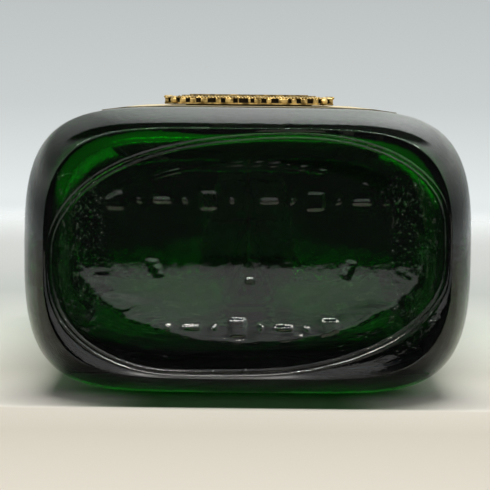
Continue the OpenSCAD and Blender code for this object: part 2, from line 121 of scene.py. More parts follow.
world = bpy.data.worlds.new("studio")
bpy.context.scene.world = world
world.use_nodes = True
sky = world.node_tree
towards = node_in(sky, "ShaderNodeSeparateXYZ",
                  [(0, node_in(sky, "ShaderNodeTexCoord").outputs["Generated"])]).outputs
height = node_in(sky, "ShaderNodeMapRange", [(0, towards["Z"]), (1, -0.1), (2, 0.9)]).outputs[0]
backdrop = ramp_in(sky, height, [
    (0.0, linear(231, 236, 236)), (0.047, linear(229, 235, 235)), (0.095, linear(202, 207, 207)),
    (0.15, linear(190, 195, 195)), (0.3, (0.9, 0.92, 0.9)), (0.62, (1.1, 1.12, 1.1)),
    (0.85, (1.9, 1.96, 1.93)), (1.0, (2.5, 2.58, 2.53))])
overhead = ramp_in(sky, height, [
    (0.0, (0.45, 0.45, 0.45)), (0.25, (0.5, 0.5, 0.5)), (0.42, (8.5, 8.6, 8.2)), (1.0, (9, 9, 8.8))])
room = ramp_in(sky, height, [
    (0.0, (0.5, 0.5, 0.49)), (0.12, (0.10, 0.10, 0.10)), (0.135, (0.95, 0.95, 0.93)), (0.55, (0.9, 0.9, 0.9)),
    (0.66, (0.3, 0.3, 0.3)), (1.0, (4.4, 4.4, 4.3))])
spill = ramp_in(sky, height, [
    (0.0, (0.03, 0.03, 0.03)), (0.3, (0.05, 0.05, 0.05)), (0.7, (0.08, 0.08, 0.08)),
    (1.0, (0.15, 0.15, 0.15))])
# It is dark overhead on the camera's side, and the room lies behind the camera.
gloom = calc(sky, "MULTIPLY", rise(sky, towards["Y"], 0.08, 0.0), rise(sky, height, 0.78, 0.9))
backdrop = blended(sky, gloom, backdrop, (0.1, 0.1, 0.1, 1))
sides = blended(sky, rise(sky, towards["Y"], -0.74, -0.9), backdrop, room)
# Reflections from above are brighter on the right.
lamp_side = node_in(sky, "ShaderNodeMapRange",
                    [(0, towards["X"]), (1, -0.25), (2, 0.25), (3, 0.42), (4, 1.6)]).outputs[0]
above = node_in(sky, "ShaderNodeMapRange", [(0, height), (1, 0.3), (2, 0.5)]).outputs[0]
tipped = blended(sky, above, (1, 1, 1, 1), lamp_side)
sides = node_in(sky, "ShaderNodeMix", [(0, 1.0), (6, sides), (7, tipped)],
                data_type="RGBA", blend_type="MULTIPLY").outputs[2]
paths = node_in(sky, "ShaderNodeLightPath").outputs
sides = blended(sky, paths["Is Transmission Ray"], sides, overhead)
lit = blended(sky, paths["Is Diffuse Ray"], sides, spill)
lit = blended(sky, paths["Is Camera Ray"], lit, backdrop)
sky.links.new(lit, sky.nodes["Background"].inputs["Color"])
sky.nodes["Background"].inputs["Strength"].default_value = 1.0

soft_box = bpy.data.objects.new("soft_box", bpy.data.lights.new("soft_box", "AREA"))
bpy.context.scene.collection.objects.link(soft_box)
soft_box.data.shape = "RECTANGLE"
soft_box.data.size = 1.0
soft_box.data.size_y = 0.07
soft_box.data.energy = 13.4
soft_box.data.color = (1.0, 0.985, 0.95)
soft_box.location = (0, 0.13, 1.2)
soft_box.visible_glossy = False

floor_mesh = bmesh.new()
bmesh.ops.create_circle(floor_mesh, cap_ends=True, segments=96, radius=0.63)
floor = bpy.data.objects.new("floor", bpy.data.meshes.new("floor"))
floor_mesh.to_mesh(floor.data)
floor_mesh.free()
bpy.context.scene.collection.objects.link(floor)
sheet_paper, tree, paper = shader("studio_sheet")
place = node_in(tree, "ShaderNodeTexCoord").outputs["Object"]
reach = node_in(tree, "ShaderNodeVectorMath", [(0, place)], operation="LENGTH").outputs["Value"]
fade = rise(tree, reach, 0.3, 0.62)
spot = node_in(tree, "ShaderNodeSeparateXYZ", [(0, place)]).outputs
along = node_in(tree, "ShaderNodeMapRange", [(0, spot["Y"]), (1, -0.59), (2, 0.46)]).outputs[0]
# Painted light and shade: the sheet's colour is made lighter and darker along its length, in place of the way
# the light falls on it.
painted_light = ramp_in(tree, along, [
    (0.0, (0.5, 0.5, 0.48)), (0.333, (0.86, 0.81, 0.72)), (0.406, (0.71, 0.67, 0.585)),
    (0.46, (0.84, 0.80, 0.72)), (0.54, (0.77, 0.78, 0.73)), (0.66, (0.54, 0.57, 0.55)),
    (0.747, (0.6, 0.62, 0.61)), (1.0, (0.72, 0.74, 0.735))])
# Two patches are painted on the sheet at the bottle's near end, in place of light that this studio doesn't
# throw: a lighter one, and inside it a green one that only the camera sees.
aside = calc(tree, "ABSOLUTE", spot["X"])
filled = rise(tree, aside, 0.066, 0.053)
for start, full in ((base_y - 0.0155, base_y - 0.0115), (base_y + 0.05, base_y + 0.015)):
    filled = calc(tree, "MULTIPLY", filled, rise(tree, spot["Y"], start, full))
painted_light = blended(tree, filled, painted_light, (1.0, 0.97, 0.89, 1))
under = rise(tree, aside, 0.047, 0.018)
for start, full in ((base_y - 0.0135, base_y - 0.0115), (base_y + 0.02, base_y + 0.01)):
    under = calc(tree, "MULTIPLY", under, rise(tree, spot["Y"], start, full))
under = calc(tree, "MULTIPLY", under, node_in(tree, "ShaderNodeLightPath").outputs["Is Camera Ray"])
tree.links.new(blended(tree, under, painted_light, (0.07, 0.17, 0.065, 1)), paper.inputs["Base Color"])
paper.inputs["Roughness"].default_value = 0.9
paper.inputs["Specular IOR Level"].default_value = 0
clear = node_in(tree, "ShaderNodeBsdfTransparent")
mixed = node_in(tree, "ShaderNodeMixShader", [(0, fade), (1, paper.outputs[0]), (2, clear.outputs[0])])
tree.links.new(mixed.outputs[0], tree.nodes["Material Output"].inputs["Surface"])
floor.data.materials.append(sheet_paper)

black, tree, felt = shader("black_felt")
felt.inputs["Base Color"].default_value = (0.07, 0.08, 0.075, 1)
felt.inputs["Specular IOR Level"].default_value = 0
for name, corners in (
    ("flag_low", [(-0.15, -0.172, 0.0006), (0.15, -0.172, 0.0006), (0.9, -1.6, 0.0006),
                  (-0.9, -1.6, 0.0006)]),
    ("flag_far", [(-0.9, -1.6, 0), (0.9, -1.6, 0), (0.9, -1.6, 0.06), (-0.9, -1.6, 0.06)]),
    ("flag_back", [(-0.16, 0.3, 0.0006), (0.16, 0.3, 0.0006), (0.16, 0.3, 0.13), (-0.16, 0.3, 0.13)]),
    ("flag_under", [(-0.1, 0.035, 0.0006), (0.1, 0.035, 0.0006), (0.16, 0.3, 0.0006), (-0.16, 0.3, 0.0006)]),
):
    card = bmesh.new()
    card.faces.new([card.verts.new(corner) for corner in corners])
    flag = bpy.data.objects.new(name, bpy.data.meshes.new(name))
    card.to_mesh(flag.data)
    card.free()
    bpy.context.scene.collection.objects.link(flag)
    flag.data.materials.append(black)
    flag.visible_camera = flag.visible_diffuse = flag.visible_shadow = False
    flag.visible_glossy = name in ("flag_low", "flag_far")

white, tree, glow = shader("white_card")
glow.inputs["Base Color"].default_value = (0, 0, 0, 1)
glow.inputs["Emission Color"].default_value = (1.0, 0.97, 0.92, 1)
glow.inputs["Emission Strength"].default_value = 26
card = bmesh.new()
card.faces.new([card.verts.new(corner)
                for corner in ((-0.7, -0.95, 0.82), (0.7, -0.95, 0.82), (0.7, -0.86, 0.92),
                               (-0.7, -0.86, 0.92))])
glint = bpy.data.objects.new("glint_card", bpy.data.meshes.new("glint_card"))
card.to_mesh(glint.data)
card.free()
bpy.context.scene.collection.objects.link(glint)
glint.data.materials.append(white)
glint.visible_camera = glint.visible_diffuse = glint.visible_transmission = glint.visible_shadow = False

# ---- Bottle ----
# One piece of deep green glass, pressed in a two-part mould: a flat flask with gently bulged sides, a thick
# base with a push-up and moulded marks, a round neck and a string rim. It lies on its plain broad side.
mm = 0.001
segments = 440
body_half = ((bottle_high.x - bottle_low.x) / 2, (bottle_high.z - bottle_low.z) / 2)
body_power = (5.8, 3.05)
heel_inset = (5.1, 4.4)
rim_half = tuple(half - inset * mm for half, inset in zip(body_half, heel_inset))
wall = 3.6 * mm
neck_radius = 14.5 * mm
lip = bottle_high.y - base_y


def contour(half_x, half_z, power_x, power_z):
    """The section's outline as evenly spaced (x, z) points, from +X round by +Z."""
    fine = []
    for k in range(4001):
        c, s = math.cos(math.tau * k / 4000), math.sin(math.tau * k / 4000)
        fine.append((math.copysign(abs(c) ** (2 / power_x), c) * half_x,
                     math.copysign(abs(s) ** (2 / power_z), s) * half_z))
    along = [0.0]
    for a, b in zip(fine, fine[1:]):
        along.append(along[-1] + math.dist(a, b))
    points, k = [], 0
    for i in range(segments):
        want = along[-1] * i / segments
        while along[k + 1] < want:
            k += 1
        part = (want - along[k]) / (along[k + 1] - along[k])
        points.append(tuple(p + (q - p) * part for p, q in zip(fine[k], fine[k + 1])))
    return points


def smooth(low, high, value):
    t = min(1, max(0, (value - low) / (high - low)))
    return t * t * (3 - 2 * t)


def bar_distance(x, z, bar):
    """The distance from a point to a straight raised bar."""
    x1, z1, x2, z2 = bar
    dx, dz = x2 - x1, z2 - z1
    t = min(1, max(0, ((x - x1) * dx + (z - z1) * dz) / max(dx * dx + dz * dz, 1e-9)))
    return math.hypot(x - x1 - dx * t, z - z1 - dz * t)


# The mould's double oval line is turned a little against the base, and its middle is a little low. The marks
# inside it are plain blocks, dashes and pips in two rows, and three short bars. All these sizes are in
# millimetres.
oval_half, oval_turn, oval_power, oval_mid = (45.0, 26.7), math.radians(6.0), 2.3, (0.5, -0.6)
marks = []
for row, count in ((12.2, 12), (-15.8, 8)):
    for k in range(count):
        x = 5.1 * (k - (count - 1) / 2) + (1.6 if k >= count / 2 else -1.6) * (count == 12)
        block = [(x - 1.3, row + step, x + 1.3, row + step) for step in (-1.4, -0.7, 0, 0.7, 1.4)]
        pip, dash = [(x, row, x, row)], [(x - 1.5, row, x + 1.5, row)]
        marks += (block, pip, dash, pip)[(k + (count == 8)) % 4]
marks += [(-21.6, -1.4, -20.2, -4.2), (22.4, -1.4, 21.2, -4.2), (-0.5, -5.4, 0.6, -5.4)]


def base_depth(x, z, share, inside):
    """How far the base is sunk behind its rim, in millimetres. share runs from 0 on the rim to 1 on the oval
    line, and inside is the distance inwards from that line."""
    sunk = 0.42 * smooth(0, 1, share) + 0.062 * min(max(inside, 0), 5.5)
    sunk -= 0.12 * math.exp(-((inside / 0.17) ** 2)) + 0.11 * math.exp(-(((inside - 1.05) / 0.17) ** 2))
    dome = (x / 38.5) ** 2 + ((z - 0.9) / 19.6) ** 2
    uneven = noise.noise((x * 0.13, z * 0.35, 3)) + 0.4 * noise.noise((x * 0.4, z * 0.9, 7))
    dome += 0.07 * smooth(0.62, 0.85, dome) * smooth(0, -6, z) * uneven
    if dome < 1:
        sunk += 3.3 * (1 - dome) - 0.12 * math.exp(-(((1 - dome) / 0.02) ** 2))
    nearest = min(bar_distance(x, z, bar) for bar in marks) if dome < 1 else 9
    sunk -= 0.36 * smooth(0.72, 0.15, nearest)
    return sunk


rim_line = [(x - oval_mid[0], z - oval_mid[1])
            for x, z in contour(rim_half[0] / mm, rim_half[1] / mm, 5.2, 3.0)]
directions = [(x / math.hypot(x, z), z / math.hypot(x, z)) for x, z in rim_line]
rim_reach = [math.hypot(x, z) for x, z in rim_line]
oval_reach = []
for (dx, dz), limit in zip(directions, rim_reach):
    u = dx * math.cos(oval_turn) + dz * math.sin(oval_turn)
    v = dz * math.cos(oval_turn) - dx * math.sin(oval_turn)
    reach = (abs(u / oval_half[0]) ** oval_power + abs(v / oval_half[1]) ** oval_power) ** (-1 / oval_power)
    oval_reach.append(-math.log(math.exp(-2.5 * reach) + math.exp(-2.5 * (limit - 0.5))) / 2.5)


def base_ring(reaches, share):
    """A ring of the base at those distances from the oval's middle."""
    ring = []
    for d, r, reach in zip(directions, oval_reach, reaches):
        x, z = d[0] * reach, d[1] * reach
        ring.append((x + oval_mid[0], base_depth(x, z, share, 0.93 * (r - reach)), z + oval_mid[1]))
    return ring


rings = [base_ring([(r - 3.4) * k / 60 for r in oval_reach], 1) for k in range(1, 61)]
for offset in (3.1, 2.8, 2.5, 2.2, 1.95, 1.75, 1.6, 1.48, 1.36, 1.25, 1.15, 1.05, 0.94, 0.82, 0.68, 0.52,
               0.38, 0.27, 0.18, 0.09, 0.0):
    rings.append(base_ring([r - offset for r in oval_reach], 1))
for share in (0.93, 0.86, 0.72, 0.55, 0.38, 0.24, 0.12, 0.04, 0.0):
    rings.append(base_ring([limit + (r - limit) * share for r, limit in zip(oval_reach, rim_reach)], share))
rings[-1] = [(x, d + 0.05 * noise.noise((i * 0.93, 1, 0)), z) for i, (x, d, z) in enumerate(rings[-1])]
# The heel grows steeper from the rim outwards, and comes out 8.8 mm deep along the bottle. That is deeper
# than the CAD heel, and was chosen for its reflections.
reached, deep = 0.0, 0.0
for part in (0.018, 0.06, 0.14, 0.23, 0.32, 0.42, 0.52, 0.62, 0.71, 0.79, 0.86, 0.92, 0.97, 1.0):
    slope = math.radians(30 + 49 * ((part + reached) / 2) ** 0.75)
    deep += heel_inset[1] * (part - reached) * math.tan(slope)
    reached = part
    line = contour(*(r / mm + (b - r) / mm * part for r, b in zip(rim_half, body_half)), 5.2 + 0.6 * part,
                   3.0 + 0.05 * part)
    rings.append([(x, deep, z) for x, z in line])


def seamed(line, s, share=1.0):
    """A ring of the body at distance s from the rim, with the mould's fine seam down both narrow sides."""
    return [(x + math.copysign(0.16 * share * smooth(0.75, 0.2, abs(z)), x) * (abs(x) > 12), s, z)
            for x, z in line]


def shoulder_line(t, half_x, half_z, radius):
    ease, power = (1 - math.cos(math.pi * t)) / 2, t ** 0.8
    return contour(half_x + (radius - half_x) * ease, half_z + (radius - half_z) * ease,
                   body_power[0] + (2 - body_power[0]) * power, body_power[1] + (2 - body_power[1]) * power)


# The distances along the bottle are in millimetres from its rim.
shoulder_start, shoulder_length = 150, 36
outline = contour(body_half[0] / mm, body_half[1] / mm, *body_power)
for s in (deep + 0.8, 14, 30, 60, 90, 120, 142, 148, 150):
    rings.append(seamed(outline, s))
for k in range(1, 21):
    t = k / 20
    line = shoulder_line(t, body_half[0] / mm, body_half[1] / mm, neck_radius / mm)
    rings.append(seamed(line, shoulder_start + shoulder_length * t, 1 - t))
neck_top = lip / mm
for s, r in ((188, 14.45), (194, 14.2), (204, 13.9), (neck_top - 13.6, 13.72), (neck_top - 12.6, 13.8),
             (neck_top - 12, 14.3), (neck_top - 11.4, 15.2), (neck_top - 10.8, 15.6), (neck_top - 10, 15.7),
             (neck_top - 6, 15.7), (neck_top - 2, 15.7), (neck_top - 1, 15.45), (neck_top - 0.3, 14.8),
             (neck_top, 13.9), (neck_top, 11.4), (neck_top - 0.12, 10.3), (neck_top - 0.4, 9.75),
             (neck_top - 0.9, 9.5), (neck_top - 12, 9.5), (neck_top - 24, 9.5), (neck_top - 34, 9.5),
             (185, 9.55)):
    rings.append([(x, s, z) for x, z in contour(r, r, 2, 2)])
inner_half = [(b - wall) / mm for b in body_half]
for k in range(17, -1, -1):
    t = k / 18
    s = shoulder_start - 2 + shoulder_length * t
    rings.append([(x, s, z) for x, z in shoulder_line(t, *inner_half, 9.6)])
inner_outline = contour(*inner_half, *body_power)
for s in (120, 90, 60, 40, 26):
    wave = 0.12 * math.sin(s)
    rings.append([(x * (1 + wave / 50), s, z * (1 + wave / 50)) for x, z in inner_outline])
corner = 9
for k in range(9):
    turn = math.pi / 2 * (1 - k / 8)
    inset = corner * (1 - math.sin(turn))
    line = contour(inner_half[0] - inset, inner_half[1] - inset, 4.6, 2.9)
    rings.append([(x, 13.4 + corner * (1 - math.cos(turn)), z) for x, z in line])
floor_half = (inner_half[0] - corner, inner_half[1] - corner)
for k in range(1, 14):
    part = 1 - k / 14
    rings.append([(x, 13.4 + 2.6 * (1 - part * part) + 0.12 * noise.noise((x * 0.16, z * 0.16, 5)), z)
                  for x, z in contour(floor_half[0] * part, floor_half[1] * part, 4.4, 2.8)])

glass_mesh = bmesh.new()
bmesh.ops.create_circle(glass_mesh, cap_ends=True, cap_tris=True, segments=segments, radius=1)
edge_ring = [e for e in glass_mesh.edges if e.is_boundary]
rim_verts = {v for e in edge_ring for v in e.verts}
centre = next(v for v in glass_mesh.verts if v not in rim_verts)
centre.co = (oval_mid[0] * mm, base_y + base_depth(0, 0, 1, 20) * mm, bottle_mid + oval_mid[1] * mm)
order = {v: round(math.atan2(v.co.y, v.co.x) / math.tau * segments) % segments for v in rim_verts}
for number, ring in enumerate(rings):
    if number:
        grown = bmesh.ops.extrude_edge_only(glass_mesh, edges=edge_ring)["geom"]
        fresh = [g for g in grown if isinstance(g, bmesh.types.BMVert)]
        edge_ring = [g for g in grown if isinstance(g, bmesh.types.BMEdge)]
        order = {v: next(order[w] for w in (e.other_vert(v) for e in v.link_edges) if w in order)
                 for v in fresh}
    for v, i in order.items():
        x, s, z = ring[i]
        v.co = (x * mm, base_y + s * mm, bottle_mid + z * mm)
bmesh.ops.pointmerge(glass_mesh, verts=list(order), merge_co=(0, base_y + 16 * mm, bottle_mid))
bmesh.ops.recalc_face_normals(glass_mesh, faces=glass_mesh.faces)
for face in glass_mesh.faces:
    face.smooth = True
bottle = bpy.data.objects.new("glass_bottle", bpy.data.meshes.new("glass_bottle"))
glass_mesh.to_mesh(bottle.data)
glass_mesh.free()
bpy.context.scene.collection.objects.link(bottle)

green_glass, tree, glass = shader("green_glass")
glass.inputs["Base Color"].default_value = (1, 1, 1, 1)
glass.inputs["Transmission Weight"].default_value = 1
glass.inputs["IOR"].default_value = 1.52
place = node_in(tree, "ShaderNodeTexCoord").outputs["Object"]
ripple = node_in(tree, "ShaderNodeTexNoise", [("Vector", place), ("Scale", 55.0), ("Detail", 2.0)])
grain = node_in(tree, "ShaderNodeTexNoise", [("Vector", place), ("Scale", 620.0), ("Detail", 3.0)])
waves = node_in(tree, "ShaderNodeBump",
                [("Height", ripple.outputs[0]), ("Strength", 0.14), ("Distance", 0.001)])
bumps = node_in(tree, "ShaderNodeBump",
                [("Height", grain.outputs[0]), ("Strength", 0.2), ("Distance", 0.0002),
                 ("Normal", waves.outputs[0])])
across = node_in(tree, "ShaderNodeSeparateXYZ", [(0, place)]).outputs
spread = calc(tree, "ABSOLUTE", across["X"])
lift = calc(tree, "ABSOLUTE", calc(tree, "ADD", across["Z"], -bottle_mid))
# The rough patches at both ends of the push-up are a fine pitting, only in the shading.
zone = rise(tree, spread, 0.0300, 0.0345)
for value, low, high in ((spread, 0.0425, 0.0405), (lift, 0.019, 0.014),
                         (across["Y"], base_y + 0.006, base_y + 0.0055)):
    zone = calc(tree, "MULTIPLY", zone, rise(tree, value, low, high))
pits = node_in(tree, "ShaderNodeTexNoise",
               [("Vector", place), ("Scale", 1500.0), ("Detail", 3.0), ("Roughness", 0.6)]).outputs[0]
stipple = node_in(tree, "ShaderNodeBump", [("Height", rise(tree, pits, 0.6, 0.7)), ("Strength", zone),
                                           ("Distance", 0.00016), ("Normal", bumps.outputs[0])])
tree.links.new(stipple.outputs[0], glass.inputs["Normal"])
# The bottle's near end is scuffed dull where it is low.
patchy = calc(tree, "MULTIPLY_ADD", ripple.outputs[0], 0.004, across["Z"])
worn = node_in(tree, "ShaderNodeMapRange", [(0, patchy), (1, 0.0098), (2, 0.0052), (4, 0.55)],
               interpolation_type="SMOOTHSTEP").outputs[0]
worn = calc(tree, "MULTIPLY", worn, rise(tree, across["Y"], base_y + 0.0062, base_y + 0.0045))
tree.links.new(worn, glass.inputs["Roughness"])
absorb = node_in(tree, "ShaderNodeVolumeAbsorption", [("Color", (0.03, 0.61, 0.17, 1)), ("Density", 590.0)])
tree.links.new(absorb.outputs[0], tree.nodes["Material Output"].inputs["Volume"])
bottle.data.materials.append(green_glass)
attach(bottle, "bottle")
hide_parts("bottle")

# ---- Label ----
# Cream laid paper with a plain gold border, pasted over the upper broad face. Seen from the base, its near
# edge is a pale line.
def rgb(r, g, b):
    return (*linear(r, g, b), 1)


def place_in(tree):
    """The piece's own X, Y and Z."""
    return node_in(tree, "ShaderNodeSeparateXYZ",
                   [(0, node_in(tree, "ShaderNodeTexCoord").outputs["Object"])]).outputs


def coat(name, low, high, scale, roughness, relief=0.00005, metallic=0.0, stretch=(1, 1, 1)):
    """A material whose colour wanders between two, with a matching fine relief. Gives its tree, shader and
    colour too."""
    made, tree, face = shader(name)
    spread = node_in(tree, "ShaderNodeMapping",
                     [("Vector", node_in(tree, "ShaderNodeTexCoord").outputs["Object"]), ("Scale", stretch)])
    speck = node_in(tree, "ShaderNodeTexNoise",
                    [("Vector", spread.outputs[0]), ("Scale", scale), ("Detail", 4.0)]).outputs[0]
    colour = blended(tree, rise(tree, speck, 0.35, 0.65), low, high)
    tree.links.new(colour, face.inputs["Base Color"])
    face.inputs["Roughness"].default_value = roughness
    face.inputs["Metallic"].default_value = metallic
    bump = node_in(tree, "ShaderNodeBump", [("Height", speck), ("Strength", 0.6), ("Distance", relief)])
    tree.links.new(bump.outputs[0], face.inputs["Normal"])
    return made, tree, face, colour


def dress(made, *nodes):
    """Gives CAD pieces that material."""
    for name in nodes:
        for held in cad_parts[name].material_slots:
            held.material = made


label_low, label_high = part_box("front_label")
label_paper, tree, face, cream = coat("label_paper", rgb(214, 198, 156), rgb(234, 222, 188), 900, 0.75)
x, y, z = place_in(tree)
from_side = calc(tree, "SUBTRACT", label_high.x, calc(tree, "ABSOLUTE", x))
from_end = calc(tree, "SUBTRACT", (label_high.y - label_low.y) / 2,
                calc(tree, "ABSOLUTE", calc(tree, "SUBTRACT", y, (label_low.y + label_high.y) / 2)))
margin = calc(tree, "MINIMUM", from_side, from_end)
for low, high in ((0.0, 0.0007), (0.0026, 0.0038), (0.0048, 0.0052)):
    line = calc(tree, "MULTIPLY", calc(tree, "GREATER_THAN", margin, low),
                calc(tree, "LESS_THAN", margin, high))
    cream = blended(tree, line, cream, rgb(176, 136, 58))
tree.links.new(cream, face.inputs["Base Color"])
dress(label_paper, "front_label")

# ---- Badge ----
# A cast and gilt plate with hollow corners, glued on the label. Its thick edge is a gallery of small posts
# under a beaded rim, with dark patina and painted shade between them, and its sunk field holds the compass
# rose.
def finished(mesh, name, slot, nodes, *materials, smooth_faces=True, body="bottle"):
    """The mesh as a piece on that body, in place of those CAD nodes."""
    bmesh.ops.recalc_face_normals(mesh, faces=mesh.faces)
    for part in mesh.faces:
        part.smooth = smooth_faces
    made = bpy.data.objects.new(name, bpy.data.meshes.new(name))
    mesh.to_mesh(made.data)
    mesh.free()
    for material in materials:
        made.data.materials.append(material)
    bpy.context.scene.collection.objects.link(made)
    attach(made, body)
    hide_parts(*nodes)
    return made


def skin(mesh, rings):
    """Joins rings of equal length, with points in millimetres, into a closed solid."""
    made = bmesh.ops.create_circle(mesh, cap_ends=True, segments=len(rings[0]), radius=1)["verts"]
    place, edges = {v: i for i, v in enumerate(made)}, list({e for v in made for e in v.link_edges})
    for number, ring in enumerate(rings):
        if number:
            grown = bmesh.ops.extrude_edge_only(mesh, edges=edges)["geom"]
            edges = [g for g in grown if isinstance(g, bmesh.types.BMEdge)]
            place = {v: next(place[w] for w in (e.other_vert(v) for e in v.link_edges) if w in place)
                     for v in grown if isinstance(v, bmesh.types.BMVert)}
        for v, i in place.items():
            v.co = Vector(ring[i]) * mm
    bmesh.ops.contextual_create(mesh, geom=edges)


plate_low, plate_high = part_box("badge_plate")
plate_half = ((plate_high.x - plate_low.x) / 2 / mm, (plate_high.y - plate_low.y) / 2 / mm)
plate_y, plate_z = (plate_low.y + plate_high.y) / 2 / mm, plate_low.z / mm
notch = 3.4


def plate_ring(inset, height):
    """The plate's outline, with a quarter hollow at each corner."""
    w, l, r = plate_half[0] - inset, plate_half[1] - inset, notch
    ring = []
    for cx, cy, start in ((w, l, 270), (-w, l, 0), (-w, -l, 90), (w, -l, 180)):
        for k in range(9):
            turn = math.radians(start - 90 * k / 8)
            ring.append((cx + r * math.cos(turn), cy + r * math.sin(turn)))
    return [(px, plate_y + py, plate_z + height) for px, py in ring]


mesh = bmesh.new()
skin(mesh, [plate_ring(inset, height) for inset, height in (
    (0.15, 0), (0, 0.12), (0, 0.4), (0.1, 0.48), (0.95, 0.5), (0.95, 1.42), (0.1, 1.44), (-0.05, 1.54),
    (0, 1.7), (0.3, 1.78), (0.75, 1.9), (2.6, 1.9), (2.9, 1.7), (3.1, 1.1))])
for part in mesh.faces:
    middle = part.calc_center_median()
    sunk_in = 0.46 < middle.z / mm - plate_z < 1.43
    part.material_index = 1 if sunk_in else 0
hollows = [(-14.4, 0.5), (-11.9, 0.55), (-8.8, 0.95), (-6.1, 0.5), (-3.2, 0.5), (-1.3, 1.05), (0.8, 0.45),
           (3.5, 0.6), (6.1, 0.85), (9.6, 0.4), (11.7, 0.5), (14.4, 0.65)]
ends = [-16.3] + [side for c, r in hollows for side in (c - r, c + r)] + [16.3]
for quarter in range(4):
    across, reach = plate_half if quarter % 2 == 0 else plate_half[::-1]
    scale = (across - notch - 0.3) / 16.3
    turned = Matrix.Translation((0, plate_y * mm, plate_z * mm)) @ Matrix.Rotation(
        math.pi / 2 * quarter, 4, "Z")
    for a, b in zip(ends[::2], ends[1::2]):
        post = bmesh.ops.create_cube(mesh, size=1, matrix=turned @ Matrix.Translation(
            ((a + b) / 2 * scale * mm, -(reach - 0.52) * mm, 0.955 * mm))
            @ Matrix.Diagonal(((b - a) * scale * mm, 0.9 * mm, 0.97 * mm, 1)))["verts"]
        bmesh.ops.bevel(mesh, geom=list({e for v in post for e in v.link_edges}), offset=0.12 * mm,
                        segments=2, profile=0.5, affect="EDGES", material=-1)
    count = round(2 * (across - notch) / 0.78)
    for k in range(count + 1):
        bmesh.ops.create_icosphere(
            mesh, subdivisions=2, radius=(0.30 + 0.05 * (k % 3 == 0)) * mm, matrix=turned @ Matrix.Translation(
                ((k / count - 0.5) * 2 * (across - notch - 0.2) * mm, -(reach - 0.12) * mm, 1.72 * mm)))
    bmesh.ops.create_icosphere(mesh, subdivisions=3, radius=1.0 * mm, matrix=turned @ Matrix.Translation(
        ((across - notch + 1.0) * mm, -(reach - notch + 1.0) * mm, 0.95 * mm)))
gilt, tree, face, colour = coat("gilt", rgb(98, 80, 44), rgb(204, 176, 114), 600, 0.36, 0.00012, 1.0)
# The sunk faces, between the posts and under the rose, are dark: partly patina, partly painted shade in those
# recesses.
patina_and_shade, tree, face, colour = coat("badge_patina_and_shade", rgb(20, 16, 9), rgb(58, 45, 22), 700, 0.8, 0.0001, 0.4)
finished(mesh, "badge_casting", "gilt", ["badge_plate"], gilt, patina_and_shade, smooth_faces=False)
dress(gilt, "badge_rose")
glue_film, tree, face, colour = coat("badge_glue", rgb(146, 122, 70), rgb(196, 178, 126), 300, 0.3)
dress(glue_film, "badge_glue")

# ---- Stopper ----
# A cut cork, and on it a hardwood head turned with a collar and a domed cap, grained along its length.
cork, tree, face, colour = coat("cork", rgb(168, 122, 76), rgb(206, 160, 108), 260, 0.85, 0.0003)
pores = node_in(tree, "ShaderNodeTexVoronoi",
                [("Vector", node_in(tree, "ShaderNodeTexCoord").outputs["Object"]), ("Scale", 700.0)])
tree.links.new(blended(tree, rise(tree, pores.outputs["Distance"], 0.22, 0.1), colour, rgb(92, 56, 32)),
               face.inputs["Base Color"])
dress(cork, "stopper_cork")

head_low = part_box("stopper_head")[0]
mesh = bmesh.new()
profile = [(0, 0), (12.6, 0), (13.2, 0.3), (13.4, 1.0), (13.0, 1.7), (12.1, 2.2), (11.9, 2.9), (12.5, 3.6),
           (13.6, 4.4), (14, 5.6), (14, 7), (13.7, 9), (12.9, 11), (11.4, 12.6), (9.4, 13.5), (7.6, 13.75),
           (7.2, 13.55), (6.8, 13.75), (4, 13.88), (0, 13.9)]
turning = [mesh.verts.new((r * mm, head_low.y + s * mm, bottle_mid)) for r, s in profile]
line = [mesh.edges.new(pair) for pair in zip(turning, turning[1:])]
bmesh.ops.spin(mesh, geom=turning + line, cent=(0, 0, bottle_mid), axis=(0, 1, 0), angle=math.tau, steps=80)
bmesh.ops.remove_doubles(mesh, verts=mesh.verts, dist=0.01 * mm)
head_wood, tree, face, colour = coat("stained_wood", rgb(52, 27, 15), rgb(112, 64, 34), 260, 0.32, 0.0001,
                                     stretch=(1, 0.07, 1))
face.inputs["Coat Weight"].default_value = 0.4
finished(mesh, "turned_head", "stained_wood", ["stopper_head"], head_wood, body="stopper")

# ---- Sea ----
# Putty pressed in through the neck, worked into waves and painted deep blue-green, with white on the crests
# and along the hull.
inner = [b / mm - 3.6 for b in body_half]
hull_y, hull_length, beam, sea_z, hull_z = base_y / mm + 39, 74, 14, 11, 9.5


def sea_floor(x):
    return bottle_mid / mm - inner[1] * max(
        0, 1 - (abs(x) / inner[0]) ** body_power[0]) ** (1 / body_power[1])


def sea_top(x, y, along):
    wave = 0.45 * math.sin(math.radians(y * 34 + x * 9)) + 0.3 * math.sin(
        math.radians(x * 31 - y * 13)) - 0.15
    wave += 0.5 * noise.noise((x * 0.28, y * 0.42, 2)) + 0.22 * noise.noise((x * 0.9, y * 1.2, 7))
    bed = sea_floor(x) + 0.35
    ends, sides = min(1, min(along, 1 - along) * 9 + 0.12), min(1, (41.5 - abs(x)) / 5)
    return bed + max(0.5, (sea_z + wave - bed) * math.sqrt(ends * sides))


